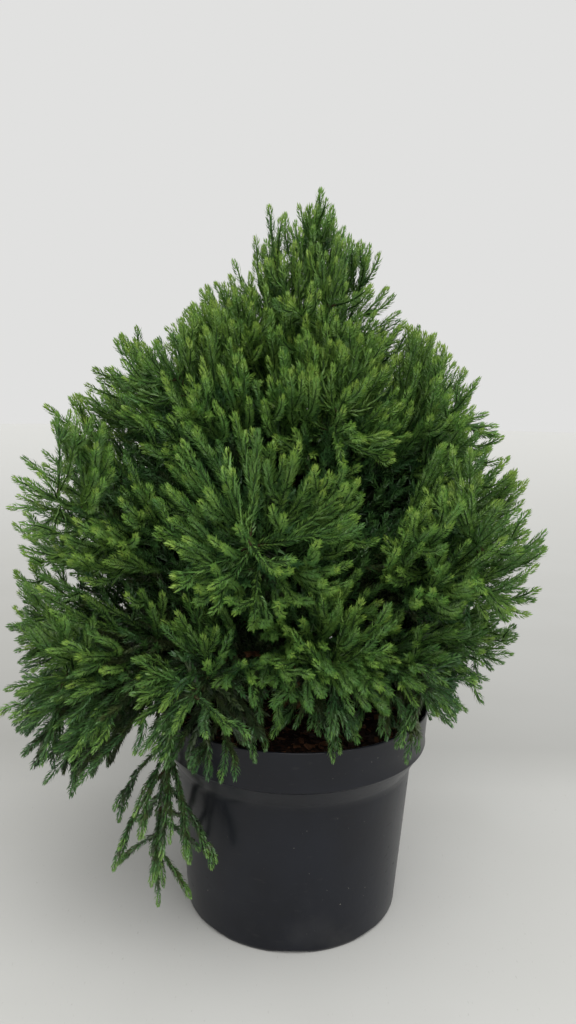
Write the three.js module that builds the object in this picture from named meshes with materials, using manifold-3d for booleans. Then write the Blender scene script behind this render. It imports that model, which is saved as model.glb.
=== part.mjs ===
// A young cryptomeria (Japanese cedar): a dense, rounded bush, 73 cm tall, in a 28 cm nursery pot.
//
// Millimetres, +Z up. The origin is the middle of the pot's flat underside. +X is to the right and
// -Y is the front, where a few shoots trail over the rim.
//
// The bush grows by one rule. Limbs leave the trunk in tiers. The inner stretch of a limb is a bare
// bough, and the outer stretch is the stem of one mass of foliage. Twigs leave that stem in a golden
// spiral, wide at its foot and narrow at its tip, and end on a dome. Here each twig is one toothed spray.

import * as THREE from "three";
import { mergeVertices } from "three/addons/utils/BufferGeometryUtils.js";
import Module from "manifold-3d";

const wasm = await Module();
wasm.setup();

// ---------------------------------------------------------------- driving dimensions

const CLEARANCE = 0.4; // between two pieces that touch
const SLIVER = 0.1; // facets thinner than this are smoothed away
const CLEANINGS = 4; // how often that is done: each may leave a few new ones
const GRID = 1 / 256; // vertices lie on this grid
const TWIN_GAP = 0.05; // how far two vertices at one place are moved

const pot = {
  height: 220,
  rimRadius: 141,
  collarRadius: 138.6, // at the collar's lower edge
  collarFoot: 181,
  bodyRadius: 125, // where the shoulder meets the body
  bodyTop: 158,
  baseRadius: 112,
  baseBevel: 3,
  wall: 2.4,
  floor: 6,
  sides: 36,
};

const drain = { count: 8, notchWidth: 38, notchHeight: 3.5, notchLength: 26, holeRadius: 5, holeCircle: 96 };

const compost = { edgeHeight: 203, footHeight: 208, footRadius: 24, play: 0.6 };

const trunk = {
  foot: compost.footHeight + CLEARANCE,
  top: 585,
  footRadius: 10.5,
  flare: 6.5, // how far the roots swell the foot
  flareShare: 0.05, // of the trunk's length
  topRadius: 3.4,
  bow: new THREE.Vector3(-9, 7, 0), // how far its middle stands off the straight line
  lean: new THREE.Vector3(3, 2, 0), // how far its tip stands off the vertical
};

// A tier of limbs: evenly spaced round the trunk from firstAzimuth (0 is +X, 270 is the front).
// root is the height where they leave the trunk. reach and height place their tips, shift moves the
// whole ring along X, and rightRise and frontRise tilt it. A limb bends towards one point, which is
// at the share out of its run and is raised by the share up of its length. bare is the share of the
// limb that is bough, spread the mass's half angle, and heart the share of its reach that is dense.
// fullness scales how wide its sprays are.
const tiers = [
  { name: "crown", count: 5, firstAzimuth: 11, root: 500, reach: 97, height: 639, shift: -23,
    rightRise: 41, frontRise: -15, out: 0.6, up: -0.08, bare: 0, spread: 43, heart: 0.62 },
  { name: "upper", count: 6, firstAzimuth: 351, root: 430, reach: 176, height: 573, shift: -8,
    rightRise: -25, frontRise: -28, out: 0.6, up: -0.12, bare: 0.28, spread: 60, heart: 0.64 },
  { name: "middle", count: 6, firstAzimuth: 324, root: 365, reach: 279, height: 444, shift: -13,
    rightRise: -16, frontRise: 0, out: 0.58, up: -0.1, bare: 0.32, spread: 54, heart: 0.64 },
  { name: "lower", count: 6, firstAzimuth: 347, root: 305, reach: 263, height: 292, shift: -53,
    rightRise: 16, frontRise: -4, out: 0.54, up: -0.02, bare: 0.32, spread: 49, heart: 0.64 },
  { name: "skirt", count: 6, firstAzimuth: 142, root: 258, reach: 236, height: 197, shift: -44,
    rightRise: 24, frontRise: 73, out: 0.6, up: 0.36, bare: 0.42, spread: 54, heart: 0.42 },
];
const depthShare = 0.84; // the crown is this much shallower, front to back, than it is wide

// The two leaders that end the trunk, and the shoots that trail over the rim.
const plantHeight = 733;
const leaders = [
  { name: "leader_1", root: 1, tip: new THREE.Vector3(17, 0, plantHeight), out: 0.5, up: 0, spread: 34,
    heart: 0.5 },
  { name: "leader_2", root: 0.9, tip: new THREE.Vector3(-33, -4, 716), out: 0.7, up: -0.06, spread: 34,
    heart: 0.5 },
];
const trailing = { name: "trailing", root: 219, azimuth: 222, reach: 172, height: 52, out: 1.04, up: 0.98,
  bare: 0.56, spread: 24, heart: 0, fullness: 0.5 };

const jitter = { azimuth: 7, reach: 0.05, height: 9 };

const limb = { rootShare: 0.011, stagger: 10, tipRadius: 1.4, sides: 4, steps: 3 }; // rootShare is of its length, stagger the climb from limb to limb
const stem = { sides: 4, steps: 2, turn: 25, end: 0.8 }; // it ends inside its spray

const twig = {
  tries: 13,
  lastAlong: 0.8, // the outermost twig leaves the stem here
  narrow: 9, // degrees off the stem, at its tip
  domeFlat: 0.34, // how much shorter the dome is at its edge
  bend: 0.16, // how far a twig bows outwards, as a share of its length
  lift: 0.07, // how far its tip turns up
  shortest: 34,
  squeezes: [1, 0.8, 0.6], // the share of its angle at which a twig is tried
};

// A spray swells and narrows along its twig. Where it doesn't fit, it is tried at smaller widths.
// Its rings are rolled so that its edges and its stem's don't run along each other.
const spray = { radii: [2.5, 14, 0], stations: [0, 0.6, 1], sides: 3, turn: 60, roll: 60, widths: [1, 0.75, 0.5] };

// The dense heart of a mass: a ball of facets, each corner drawn in until it is in the mass's space.
const core = { centre: 0.4, step: 4, slack: 3 };

const space = { stemPoints: 12, slack: 2.4 }; // stem points measure whose space a place is in
const GOLDEN_ANGLE = Math.PI * (3 - Math.sqrt(5));
const UP = new THREE.Vector3(0, 0, 1);

// ---------------------------------------------------------------- small tools

// A seeded run of numbers from 0 to 1: a linear congruential generator, the same in any language.
function seeded(seed) {
  let state = Math.imul(seed + 1, 2654435761) >>> 0;
  const next = () => {
    state = (Math.imul(state, 1664525) + 1013904223) >>> 0;
    return state / 4294967296;
  };
  for (let i = 0; i < 3; i++) next();
  return next;
}

const radians = THREE.MathUtils.degToRad;
const sampled = (valueAt, steps) => Array.from({ length: steps + 1 }, (_, i) => valueAt(i / steps));
const around = (random) => 2 * random() - 1; // from -1 to 1

// A closed solid from a three.js geometry, without the flat slivers of a cone's point.
function solidOf(geometry) {
  const bare = geometry.clone();
  bare.deleteAttribute("normal");
  bare.deleteAttribute("uv");
  const merged = mergeVertices(bare, 1e-3);
  const corners = [];
  for (let i = 0; i < merged.index.count; i += 3) {
    const [a, b, c] = [0, 1, 2].map((k) => merged.index.getX(i + k));
    if (a !== b && b !== c && c !== a) corners.push(a, b, c);
  }
  return new wasm.Manifold(
    new wasm.Mesh({
      numProp: 3,
      vertProperties: merged.attributes.position.array,
      triVerts: new Uint32Array(corners),
    }),
  );
}

function geometryOf(solid) {
  const mesh = solid.getMesh();
  drawApart(mesh);
  const geometry = new THREE.BufferGeometry();
  geometry.setAttribute("position", new THREE.BufferAttribute(mesh.vertProperties, 3));
  geometry.setIndex(new THREE.BufferAttribute(mesh.triVerts, 1));
  geometry.computeVertexNormals();
  return geometry;
}

// Puts vertices on a grid, and where two share a place, moves each a little towards its neighbours.
function drawApart({ vertProperties: places, triVerts }) {
  places.forEach((value, i) => (places[i] = Math.round(value / GRID) * GRID));
  const neighbours = Array.from({ length: places.length / 3 }, () => new THREE.Vector3());
  const placeOf = (vertex) => new THREE.Vector3().fromArray(places, 3 * vertex);
  triVerts.forEach((vertex, i) => {
    const next = triVerts[i % 3 === 2 ? i - 2 : i + 1];
    neighbours[vertex].add(placeOf(next).sub(placeOf(vertex)));
  });
  const taken = new Set();
  const twins = new Set();
  const keyOf = (vertex) => placeOf(vertex).toArray().join();
  neighbours.forEach((_, vertex) => (taken.has(keyOf(vertex)) ? twins : taken).add(keyOf(vertex)));
  const moved = neighbours.map((sum, vertex) =>
    twins.has(keyOf(vertex)) ? placeOf(vertex).add(sum.setLength(TWIN_GAP)) : null);
  moved.forEach((place, vertex) => place?.toArray(places, 3 * vertex));
}

// A curve between two points that bends towards a third: at the share out of the level run between
// them, and raised over their middle by the share up of their distance.
function archedCurve(from, to, { out, up }) {
  const middle = from.clone().lerp(to, out);
  middle.z = (from.z + to.z) / 2 + up * from.distanceTo(to);
  return new THREE.QuadraticBezierCurve3(from, middle, to);
}

// The stretch of a quadratic curve from u0 to u1, again a quadratic curve.
function stretchOf(curve, u0, u1) {
  const [from, to] = [curve.getPoint(u0), curve.getPoint(u1)];
  const middle = from.clone().addScaledVector(slopeAt(curve, u0), (u1 - u0) / 2);
  return new THREE.QuadraticBezierCurve3(from, middle, to);
}

function slopeAt(curve, u) {
  return curve.v1.clone().sub(curve.v0).multiplyScalar(2 * (1 - u))
    .addScaledVector(curve.v2.clone().sub(curve.v1), 2 * u);
}

// Two directions square to a flat curve, the first also square to the plane it bends in.
function sideOf(curve) {
  const side = curve.v1.clone().sub(curve.v0).cross(curve.v2.clone().sub(curve.v0));
  if (side.length() > 1e-3) return side.normalize();
  const along = curve.v2.clone().sub(curve.v0).normalize();
  const least = Math.abs(along.z) < 0.9 ? UP : new THREE.Vector3(1, 0, 0);
  return along.cross(least).normalize();
}

// A cylinder bent along a flat curve, with a ring of the given radius at each station along it.
// Each ring is turned from the last, and all of them are rolled.
function bentCylinder(curve, radii, sides, turn = 0, stations = null, roll = 0) {
  const steps = radii.length - 1;
  const geometry = new THREE.CylinderGeometry(1, 1, 1, sides, steps);
  const place = geometry.attributes.position;
  const side = sideOf(curve);
  for (let i = 0; i < place.count; i++) {
    const ring = Math.round((place.getY(i) + 0.5) * steps);
    const u = stations ? stations[ring] : ring / steps;
    const along = slopeAt(curve, u).normalize();
    const across = side.clone().cross(along);
    const angle = Math.atan2(place.getZ(i), place.getX(i)) - radians(turn * ring + roll);
    const radius = radii[ring] * Math.hypot(place.getX(i), place.getZ(i));
    const point = curve.getPoint(u)
      .addScaledVector(side, radius * Math.cos(angle))
      .addScaledVector(across, radius * Math.sin(angle));
    place.setXYZ(i, point.x, point.y, point.z);
  }
  return geometry;
}

// ---------------------------------------------------------------- the pot and its compost

function potOuterRadius(z) {
  if (z <= pot.bodyTop) return THREE.MathUtils.mapLinear(z, 0, pot.bodyTop, pot.baseRadius, pot.bodyRadius);
  if (z <= pot.collarFoot)
    return THREE.MathUtils.mapLinear(z, pot.bodyTop, pot.collarFoot, pot.bodyRadius, pot.collarRadius);
  return THREE.MathUtils.mapLinear(z, pot.collarFoot, pot.height, pot.collarRadius, pot.rimRadius);
}

const potInnerRadius = (z) => potOuterRadius(z) - pot.wall;

function lathe(profile, sides) {
  const points = profile.map(([radius, z]) => new THREE.Vector2(radius, z));
  return solidOf(new THREE.LatheGeometry(points, sides).rotateX(Math.PI / 2));
}

function makePot() {
  const breaks = [pot.bodyTop, pot.collarFoot];
  const outside = [[0, 0], [pot.baseRadius - pot.baseBevel, 0], [potOuterRadius(pot.baseBevel), pot.baseBevel],
    ...breaks.map((z) => [potOuterRadius(z), z]), [pot.rimRadius, pot.height]];
  const inside = [[potInnerRadius(pot.height), pot.height],
    ...breaks.reverse().map((z) => [potInnerRadius(z), z]), [potInnerRadius(pot.floor), pot.floor], [0, pot.floor]];
  let solid = lathe([...outside, ...inside], pot.sides);

  // Under the foot, shallow arches let the water out, with a hole in the top of each.
  const archRadius = (drain.notchWidth ** 2 / 4 + drain.notchHeight ** 2) / (2 * drain.notchHeight);
  const notch = new THREE.CylinderGeometry(archRadius, archRadius, drain.notchLength, 24)
    .rotateZ(Math.PI / 2)
    .translate(pot.baseRadius + 2 - drain.notchLength / 2, 0, drain.notchHeight - archRadius);
  const hole = new THREE.CylinderGeometry(drain.holeRadius, drain.holeRadius, 4 * pot.floor, 8)
    .rotateX(Math.PI / 2)
    .translate(drain.holeCircle, 0, 0);
  for (let i = 0; i < drain.count; i++) {
    const azimuth = -Math.PI / 2 + (i * 2 * Math.PI) / drain.count;
    solid = solid.subtract(solidOf(notch.clone().rotateZ(azimuth)));
    solid = solid.subtract(solidOf(hole.clone().rotateZ(azimuth)));
  }
  return solid;
}

function makeCompost() {
  const low = pot.floor + CLEARANCE;
  const wallAt = (z) => [potInnerRadius(z) - compost.play, z];
  return lathe(
    [[0, low], wallAt(low), wallAt(pot.bodyTop), wallAt(pot.collarFoot), wallAt(compost.edgeHeight),
      [compost.footRadius * 2.4, compost.edgeHeight + 3], [compost.footRadius, compost.footHeight],
      [0, compost.footHeight]],
    pot.sides,
  );
}

// ---------------------------------------------------------------- the trunk and the limbs' paths

const trunkFoot = new THREE.Vector3(0, 0, trunk.foot - 4);
const trunkTip = new THREE.Vector3(0, 0, trunk.top).add(trunk.lean);
const trunkCurve = new THREE.QuadraticBezierCurve3(
  trunkFoot,
  trunkFoot.clone().lerp(trunkTip, 0.5).addScaledVector(trunk.bow, 2),
  trunkTip,
);

const trunkShare = (height) => (height - trunkFoot.z) / (trunk.top - trunkFoot.z);

function trunkRadius(u) {
  return THREE.MathUtils.lerp(trunk.footRadius, trunk.topRadius, u) + trunk.flare * Math.exp(-u / trunk.flareShare);
}

// The trunk as a solid that is thicker all round by grown, cut flat where it stands.
function makeTrunk(grown = 0) {
  const solid = solidOf(bentCylinder(trunkCurve, sampled((u) => trunkRadius(u) + grown, 12), 10));
  return solid.trimByPlane([0, 0, 1], trunk.foot);
}

// Every limb: its name, its curve from the trunk's axis to its tip, the share that is bare, and its spread.
function layOutLimbs() {
  const limbs = [];
  const random = seeded(7);
  for (const tier of tiers) {
    for (let i = 0; i < tier.count; i++) {
      const azimuth = radians(tier.firstAzimuth + (360 * i) / tier.count + jitter.azimuth * around(random));
      const reach = tier.reach * (1 + jitter.reach * around(random));
      const front = Math.max(0, -Math.sin(azimuth));
      const tip = new THREE.Vector3(
        reach * Math.cos(azimuth) + tier.shift,
        reach * Math.sin(azimuth) * depthShare,
        tier.height + tier.rightRise * Math.cos(azimuth) + tier.frontRise * front + jitter.height * around(random),
      );
      const root = trunkCurve.getPoint(trunkShare(tier.root + limb.stagger * (i - tier.count / 2)));
      limbs.push({ name: `${tier.name}_${i + 1}`, curve: archedCurve(root, tip, tier), ...shape(tier) });
    }
  }
  const azimuth = radians(trailing.azimuth);
  const tip = new THREE.Vector3(trailing.reach * Math.cos(azimuth), trailing.reach * Math.sin(azimuth), trailing.height);
  const root = trunkCurve.getPoint(trunkShare(trailing.root));
  limbs.push({ name: trailing.name, curve: archedCurve(root, tip, trailing), ...shape(trailing) });
  for (const leader of leaders) {
    const curve = archedCurve(trunkCurve.getPoint(leader.root), leader.tip, leader);
    limbs.push({ name: leader.name, curve, ...shape({ ...leader, bare: 0 }) });
  }
  return limbs;
}

const shape = ({ bare, spread, heart, fullness = 1 }) => ({ bare, heart, fullness, spread: radians(spread) });

const limbs = layOutLimbs();
for (const one of limbs) {
  one.length = one.curve.getLength();
  one.rootRadius = limb.rootShare * one.length + 0.9;
  one.radiusAt = (u) => THREE.MathUtils.lerp(one.rootRadius, limb.tipRadius, u);
  one.stemCurve = stretchOf(one.curve, one.bare + CLEARANCE / one.length, 1);
  one.stemLength = one.stemCurve.getLength();
  one.stemPoints = Array.from({ length: space.stemPoints }, (_, i) =>
    one.stemCurve.getPoint((i + 0.5) / space.stemPoints));
}

// What a twig has to keep clear of: the trunk and every bough, as spheres strung along them.
const wood = [];
function stringSpheres(curve, radiusAt, upTo, owner) {
  const count = Math.ceil((curve.getLength() * upTo) / 6);
  for (let i = 0; i <= count; i++) {
    const u = (upTo * i) / count;
    wood.push({ owner, centre: curve.getPoint(u), radius: radiusAt(u) });
  }
}
stringSpheres(trunkCurve, trunkRadius, 1, null);
for (const one of limbs) if (one.bare > 0) stringSpheres(one.curve, one.radiusAt, one.bare, one);

// ---------------------------------------------------------------- the rule that twigs grow by

const gapTo = (points, place) => Math.min(...points.map((point) => point.distanceTo(place)));

// A place is in a limb's space, with room to spare, if that limb's stem is the nearest.
function inOwnSpace(one, place, room) {
  const own = gapTo(one.stemPoints, place);
  return limbs.every((other) => other === one || gapTo(other.stemPoints, place) - own > 2 * room);
}

function clearOfWood(place, room, except = null) {
  return wood.every(({ owner, centre, radius }) => owner === except || centre.distanceTo(place) > radius + room);
}

function clearOfPot(place, room) {
  const out = Math.hypot(place.x, place.y);
  if (place.z > pot.height + room) return true;
  if (out > potOuterRadius(Math.min(place.z, pot.height)) + room) return place.z > 12 + room;
  return place.z > compost.footHeight + room && out < potInnerRadius(compost.edgeHeight) - room;
}

// How far a mass reaches from its stem's foot, at an angle off the stem.
const domeReach = (one, angle) => one.stemLength * (1 - twig.domeFlat * (angle / one.spread) ** 2);

// The curve of a twig that leaves the stem at s, at an angle off it, on the side that phase gives.
function twigCurve(one, s, angle, phase, reachShare, bend) {
  const foot = one.stemCurve.v0;
  const along = one.stemCurve.v2.clone().sub(foot).normalize();
  const side = sideOf(one.stemCurve);
  const lateral = side.clone().multiplyScalar(Math.cos(phase))
    .addScaledVector(side.clone().cross(along).normalize(), Math.sin(phase));
  const dome = domeReach(one, angle) * reachShare;
  const from = one.stemCurve.getPoint(s);
  const to = foot.clone()
    .addScaledVector(along, dome * Math.cos(angle))
    .addScaledVector(lateral, dome * Math.sin(angle));
  const length = from.distanceTo(to);
  to.z = Math.min(to.z + twig.lift * length, plantHeight - 6);
  const middle = from.clone().lerp(to, 0.5).addScaledVector(lateral, bend * length);
  return new THREE.QuadraticBezierCurve3(from, middle, to);
}

// How far a spray reaches from its twig's axis at u, with what the straight edges add.
function sprayRoom(u) {
  const { radii, stations } = spray;
  const ring = Math.max(1, stations.findIndex((station) => station >= u));
  return THREE.MathUtils.mapLinear(u, stations[ring - 1], stations[ring], radii[ring - 1], radii[ring]);
}

// A twig fits if each place along it is in its mass's space and touches neither wood nor pot.
function fits(one, curve, width) {
  if (curve.v0.distanceTo(curve.v2) < twig.shortest) return false;
  for (let u = 0.16; u <= 1; u += 0.07) {
    const place = curve.getPoint(u);
    const room = sprayRoom(u) * width + space.slack;
    if (!inOwnSpace(one, place, room) || !clearOfWood(place, room) || !clearOfPot(place, room)) return false;
  }
  return true;
}

function growTwigs(one, seed) {
  const random = seeded(seed);
  const phase = 2 * Math.PI * random();
  const grown = [];
  for (let k = 0; k < twig.tries; k++) {
    const along = (k + 0.5) / twig.tries;
    const angle = THREE.MathUtils.lerp(radians(twig.narrow), one.spread, Math.sqrt(1 - along)) * (1 + 0.1 * around(random));
    const reachShare = 0.97 + 0.07 * around(random);
    const bend = twig.bend * (1 + 0.4 * around(random));
    const tries = twig.squeezes.flatMap((squeeze) => spray.widths.map((width) => ({ squeeze, width: width * one.fullness })));
    for (const { squeeze, width } of tries) {
      const curve = twigCurve(one, twig.lastAlong * along, angle * squeeze, phase + k * GOLDEN_ANGLE, reachShare, bend);
      if (!fits(one, curve, width)) continue;
      grown.push({ curve, width });
      break;
    }
  }
  return grown;
}

// ---------------------------------------------------------------- solids of limbs and masses

// A limb's bare stretch, or the room that it and its clearance take.
function makeBough(one, grown = 0) {
  const curve = stretchOf(one.curve, 0, one.bare + (grown * 0.9) / one.length);
  const radii = sampled((u) => one.radiusAt(u * one.bare) + grown, limb.steps);
  return solidOf(bentCylinder(curve, radii, limb.sides));
}

function makeMass(one, seed, woodRoom) {
  const stemRadii = sampled((u) => one.radiusAt(THREE.MathUtils.lerp(one.bare, 1, u)), stem.steps);
  const pieces = [solidOf(bentCylinder(stretchOf(one.stemCurve, 0, stem.end), stemRadii, stem.sides, stem.turn))];
  const twigs = [{ curve: stretchOf(one.stemCurve, 0.5, 1), width: 0.6 }, ...growTwigs(one, seed)];
  for (const { curve, width } of twigs) {
    const radii = spray.radii.map((radius) => radius * width);
    pieces.push(solidOf(bentCylinder(curve, radii, spray.sides, spray.turn, spray.stations, spray.roll)));
  }
  if (one.heart > 0) pieces.push(makeCore(one));
  let whole = outermost(wasm.Manifold.union(pieces).subtract(woodRoom).simplify(SLIVER));
  for (let pass = 0; pass < CLEANINGS; pass++) whole = outermost(solidOf(geometryOf(whole)).simplify(SLIVER));
  return whole;
}

function makeCore(one) {
  const geometry = new THREE.OctahedronGeometry(1, 1);
  const corners = geometry.attributes.position;
  const centre = one.stemCurve.getPoint(core.centre);
  const foot = one.stemCurve.v0;
  const along = one.stemCurve.v2.clone().sub(foot);
  const fitsAt = (place) => {
    const out = place.clone().sub(foot);
    const angle = Math.min(out.angleTo(along), one.spread);
    return out.length() < one.heart * domeReach(one, angle) && out.angleTo(along) < one.spread * 1.1 &&
      inOwnSpace(one, place, core.slack) && clearOfWood(place, core.slack, one) && clearOfPot(place, core.slack);
  };
  for (let i = 0; i < corners.count; i++) {
    const way = new THREE.Vector3().fromBufferAttribute(corners, i).normalize();
    let reach = core.step;
    while (fitsAt(centre.clone().addScaledVector(way, reach + core.step))) reach += core.step;
    const corner = centre.clone().addScaledVector(way, reach);
    corners.setXYZ(i, corner.x, corner.y, corner.z);
  }
  return solidOf(geometry);
}

// The largest shell of a solid: small hollows that crossing twigs close off are filled.
function outermost(solid) {
  return solid.decompose().reduce((best, shell) => (shell.volume() > best.volume() ? shell : best));
}

// ---------------------------------------------------------------- the assembly

const finishes = {
  pot: new THREE.MeshStandardMaterial({ color: 0x35363a, roughness: 0.42, metalness: 0 }),
  compost: new THREE.MeshStandardMaterial({ color: 0x2b1d14, roughness: 0.95, metalness: 0 }),
  bark: new THREE.MeshStandardMaterial({ color: 0x5a3a26, roughness: 0.85, metalness: 0 }),
  foliage: new THREE.MeshStandardMaterial({ color: 0x3f6b2c, roughness: 0.6, metalness: 0 }),
};

function named(name, solid, finish) {
  const mesh = new THREE.Mesh(geometryOf(solid), finish);
  mesh.name = name;
  return mesh;
}

const cryptomeria = new THREE.Group();
cryptomeria.add(named("pot", makePot(), finishes.pot));
cryptomeria.add(named("compost", makeCompost(), finishes.compost));
cryptomeria.add(named("trunk", makeTrunk(), finishes.bark));

const trunkRoom = makeTrunk(CLEARANCE);
const bareLimbs = limbs.filter((one) => one.bare > 0);
const woodRoom = wasm.Manifold.union([trunkRoom, ...bareLimbs.map((one) => makeBough(one, CLEARANCE))]);
for (const one of bareLimbs) {
  cryptomeria.add(named(`bough_${one.name}`, makeBough(one).subtract(trunkRoom).simplify(SLIVER), finishes.bark));
}
limbs.forEach((one, index) => {
  cryptomeria.add(named(`foliage_${one.name}`, makeMass(one, 100 + index, woodRoom), finishes.foliage));
});

export default cryptomeria;
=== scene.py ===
# %% [markdown]
# # A young cryptomeria in a nursery pot
#
# The plant is a Japanese cedar, a conifer that grows as a dense mound of "foxtails": shoots as thick
# as a finger's tip, clothed all round in short needles that curve inwards. Each foxtail ends in a
# blunt, paler bud of new needles. The pot is thin injection-moulded plastic, filled with compost.
#
# The packed CAD model is the fixed frame. It already holds the pot, the compost, the trunk, the bare
# boughs and one coarse solid for each mass of foliage. Here the coarse masses are grown again by the
# same rule, on down to single needles.

import math

import bpy
import numpy as np
from mathutils import Matrix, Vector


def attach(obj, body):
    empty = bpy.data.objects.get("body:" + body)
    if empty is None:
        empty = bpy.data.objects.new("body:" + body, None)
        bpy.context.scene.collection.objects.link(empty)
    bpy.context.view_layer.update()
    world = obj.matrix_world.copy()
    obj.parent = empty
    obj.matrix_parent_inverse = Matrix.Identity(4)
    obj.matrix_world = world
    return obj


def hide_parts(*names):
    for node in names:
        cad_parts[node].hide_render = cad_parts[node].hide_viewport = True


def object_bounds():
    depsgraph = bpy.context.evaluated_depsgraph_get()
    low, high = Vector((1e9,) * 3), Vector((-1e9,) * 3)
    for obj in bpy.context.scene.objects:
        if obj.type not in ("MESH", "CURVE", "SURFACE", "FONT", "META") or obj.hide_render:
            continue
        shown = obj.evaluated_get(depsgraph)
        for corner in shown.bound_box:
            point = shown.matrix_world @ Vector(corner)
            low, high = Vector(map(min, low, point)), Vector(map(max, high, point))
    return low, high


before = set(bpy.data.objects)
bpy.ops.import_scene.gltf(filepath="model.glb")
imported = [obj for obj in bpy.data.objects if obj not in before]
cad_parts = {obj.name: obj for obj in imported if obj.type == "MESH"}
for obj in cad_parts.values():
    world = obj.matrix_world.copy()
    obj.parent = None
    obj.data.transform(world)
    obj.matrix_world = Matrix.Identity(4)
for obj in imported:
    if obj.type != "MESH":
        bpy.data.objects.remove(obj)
cad_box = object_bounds()
MM = 0.001
print("nodes:", len(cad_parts), "box:", [round(v, 3) for corner in cad_box for v in corner])

# %% [markdown]
# ## The camera
#
# The plant stands at about arm's length and is seen from a little above. The lens is given by its
# focal length in pixels: a frame 1024 pixels long and a sensor 36 mm long make one pixel 36/1024 mm.
# The camera first looks straight down, so a turn of 90 degrees about X levels it, less the pitch.

# %% The camera
FOCAL_PIXELS, LONG_SIDE, SENSOR_MM = 800, 1024, 36
PITCH_DOWN, ROLL = math.radians(8.55), math.radians(0.93)

scene = bpy.context.scene
camera = bpy.data.objects.new("camera", bpy.data.cameras.new("camera"))
scene.collection.objects.link(camera)
camera.data.sensor_width = SENSOR_MM
camera.data.lens = FOCAL_PIXELS * SENSOR_MM / LONG_SIDE
camera.matrix_world = (
    Matrix.Translation((-0.0098, -0.815, 0.539))
    @ Matrix.Rotation(math.pi / 2 - PITCH_DOWN, 4, "X")
    @ Matrix.Rotation(ROLL, 4, "Z")
)
scene.camera = camera
print("lens:", round(camera.data.lens, 2), "mm")

# %% [markdown]
# ## Curves
#
# Every limb, twig and shoot is a quadratic Bezier curve: a foot, a point that it bends towards and a
# tip. Three points are enough for one clean sweep, a stretch of such a curve is such a curve again,
# and one formula gives points for thousands of curves at once. Blender's own curve objects could draw
# them, but a plant this size needs more than half a million needles placed on them, and arrays are
# faster by far. All lengths are in millimetres until a mesh is made.

# %% Curves
UP = np.array([0.0, 0.0, 1.0])
GOLDEN_ANGLE = math.pi * (3 - math.sqrt(5))


def mix(a, b, share):
    return a + (b - a) * share


def unit(v):
    return v / np.maximum(np.linalg.norm(v, axis=-1, keepdims=True), 1e-9)


def point_at(curve, u):
    """The point at u on one curve, or on each of many: a curve's points are the last axis but one."""
    u = np.asarray(u, float)[..., None]
    a, b, c = (curve[..., k, :] for k in range(3))
    return (1 - u) ** 2 * a + 2 * u * (1 - u) * b + u**2 * c


def slope_at(curve, u):
    u = np.asarray(u, float)[..., None]
    a, b, c = (curve[..., k, :] for k in range(3))
    return 2 * (1 - u) * (b - a) + 2 * u * (c - b)


def length_of(curve):
    points = point_at(curve[..., None, :, :], np.linspace(0, 1, 33))
    return np.linalg.norm(np.diff(points, axis=-2), axis=-1).sum(axis=-1)


def stretch_of(curve, u0, u1):
    """The stretch of a curve from u0 to u1."""
    start = point_at(curve, u0)
    return np.array([start, start + slope_at(curve, u0) * (u1 - u0) / 2, point_at(curve, u1)])


def side_of(curve):
    """A direction square to the plane that a curve bends in."""
    side = np.cross(curve[..., 1, :] - curve[..., 0, :], curve[..., 2, :] - curve[..., 0, :])
    along = unit(curve[..., 2, :] - curve[..., 0, :])
    least = np.where(np.abs(along[..., 2:]) < 0.9, UP, np.array([1.0, 0, 0]))
    straight = np.linalg.norm(side, axis=-1, keepdims=True) < 1e-3
    return unit(np.where(straight, np.cross(along, least), side))


# %% [markdown]
# ## The limbs
#
# A cryptomeria's limbs leave the trunk in loose tiers that widen towards the ground. The numbers are
# the CAD source's own, so that the limbs lie where its solids are: its table of tiers, its seeded run
# of numbers and the order in which they are drawn.

# %% The limbs
class Seeded:
    """A seeded run of numbers from 0 to 1, the same here as in the CAD source."""

    def __init__(self, seed):
        self.state = (seed + 1) * 2654435761 % 2**32
        for _ in range(3):
            self()

    def __call__(self):
        self.state = (self.state * 1664525 + 1013904223) % 2**32
        return self.state / 2**32

    def around(self):
        return 2 * self() - 1


POT = dict(height=220, rim=141, collar=138.6, collar_foot=181, body=125, body_top=158,
           base=112, bevel=3, wall=2.4)
COMPOST = dict(edge=203, foot=208, foot_radius=24)
TRUNK = dict(foot=208.4, top=585, sunk=4, lean=(3.0, 2.0), bow=(-9, 7, 0),
             foot_radius=10.5, flare=6.5, flare_share=0.05, top_radius=3.4)
PLANT_HEIGHT, CLEARANCE, DEPTH_SHARE = 733, 0.4, 0.84
TIERS = [
    dict(name="crown", count=5, azimuth=11, root=500, reach=97, height=639, shift=-23,
         right_rise=41, front_rise=-15, out=0.6, up=-0.08, bare=0, spread=43, heart=0.62),
    dict(name="upper", count=6, azimuth=351, root=430, reach=176, height=573, shift=-8,
         right_rise=-25, front_rise=-28, out=0.6, up=-0.12, bare=0.28, spread=60, heart=0.64),
    dict(name="middle", count=6, azimuth=324, root=365, reach=279, height=444, shift=-13,
         right_rise=-16, front_rise=0, out=0.58, up=-0.1, bare=0.32, spread=54, heart=0.64),
    dict(name="lower", count=6, azimuth=347, root=305, reach=263, height=292, shift=-53,
         right_rise=16, front_rise=-4, out=0.54, up=-0.02, bare=0.32, spread=49, heart=0.64),
    dict(name="skirt", count=6, azimuth=142, root=258, reach=236, height=197, shift=-44,
         right_rise=24, front_rise=73, out=0.6, up=0.36, bare=0.42, spread=54, heart=0.42),
]
TRAILING = dict(name="trailing", root=219, azimuth=222, reach=172, height=52, out=1.04, up=0.98,
                bare=0.56, spread=24, heart=0, fullness=0.5)
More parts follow.
